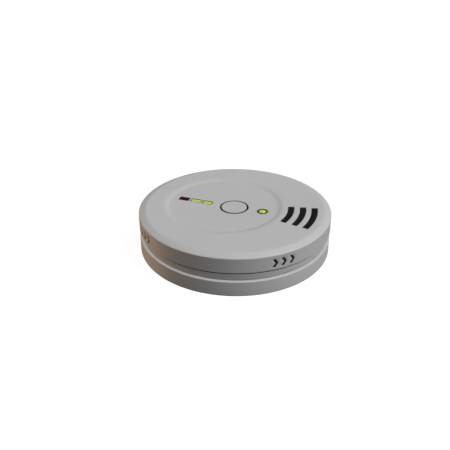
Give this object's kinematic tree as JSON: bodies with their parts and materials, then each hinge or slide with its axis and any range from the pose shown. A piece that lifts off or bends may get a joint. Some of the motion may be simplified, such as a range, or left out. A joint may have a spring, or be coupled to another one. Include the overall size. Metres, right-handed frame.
{
  "type": "carbon monoxide detector",
  "caption": "Round battery carbon monoxide alarm: a twist-lock head on a mounting base, with a test button, indicator windows, a status light and curved sounder slots.",
  "frame": {"origin": "centre of the mounting base's flat back, where it meets the wall, ceiling or shelf", "axes": "+Z out of the wall through the front cover, which is the object's axis; +X from the centre along the row of indicators to the sounder slots; +Y completes a right-handed frame"},
  "size_m": [0.126, 0.126, 0.0277],
  "materials": {
    "shell_plastic": "fine-textured off-white moulded plastic, satin",
    "base_plastic": "fine-textured off-white moulded plastic, satin",
    "button_plastic": "smooth off-white moulded plastic, satin",
    "black_plastic": "black moulded plastic",
    "green_lens": "tinted yellow-green diffusing lens",
    "red_lens": "dark red diffusing lens, unlit",
    "olive_bezel": "dark olive ring round the light",
    "led_package": "white surface-mount package",
    "board_laminate": "green solder mask over glass laminate",
    "black_epoxy": "black moulded epoxy",
    "capacitor_sleeve": "dark blue printed sleeve on an aluminium can",
    "cell_jacket": "plain blue wrapper on an AA cell",
    "sensor_can": "drawn metal can",
    "spring_steel": "nickel-plated spring wire",
    "contact_steel": "nickel-plated strip",
    "screw_steel": "zinc-plated",
    "brass": "thin brass diaphragm",
    "piezo_ceramic": "silvered ceramic disc",
    "foam": "closed-cell foam",
    "red_sleeve": "soft insulated lead",
    "black_sleeve": "soft insulated lead"
  },
  "bodies": {
    "base": {"mounting_base": "base_plastic"},
    "head": {"rear_housing": "shell_plastic", "front_cover": "shell_plastic", "button_spring": "spring_steel", "switch_body": "black_plastic", "lens_power": "green_lens", "lens_fault": "green_lens", "lens_alarm": "red_lens", "led_power": "led_package", "led_fault": "led_package", "led_alarm": "led_package", "status_bezel": "olive_bezel", "status_led": "green_lens", "circuit_board": "board_laminate", "microcontroller": "black_epoxy", "voltage_regulator": "black_epoxy", "main_capacitor": "capacitor_sleeve", "filter_capacitor": "capacitor_sleeve", "step_up_coil": "black_epoxy", "co_sensor": "sensor_can", "sensor_gasket": "foam", "sounder_tube": "black_plastic", "piezo_disc": "brass", "piezo_ceramic": "piezo_ceramic", "sounder_grille": "black_plastic", "sounder_lead_red": "red_sleeve", "sounder_lead_black": "black_sleeve", "battery_1": "cell_jacket", "battery_2": "cell_jacket", "battery_spring_1": "spring_steel", "battery_spring_2": "spring_steel", "battery_contact_1": "contact_steel", "battery_contact_2": "contact_steel", "battery_link": "contact_steel", "housing_screw_1": "screw_steel", "housing_screw_2": "screw_steel", "housing_screw_3": "screw_steel", "housing_screw_4": "screw_steel", "board_screw_1": "screw_steel", "board_screw_2": "screw_steel", "board_screw_3": "screw_steel"},
    "button": {"test_button": "button_plastic", "switch_plunger": "black_plastic"}
  },
  "joints": [
    {"name": "head_twist", "type": "hinge", "parent": "base", "child": "head", "pos_m": [0, 0, 0.01], "axis": [0, 0, 1], "range_deg": [0, 16]},
    {"name": "button_press", "type": "slide", "parent": "head", "child": "button", "axis": [0, 0, -1], "range_m": [0, 0.0008], "stiffness_N_per_m": 400, "springref_m": -0.002, "deforming": ["button_spring"]}
  ]
}
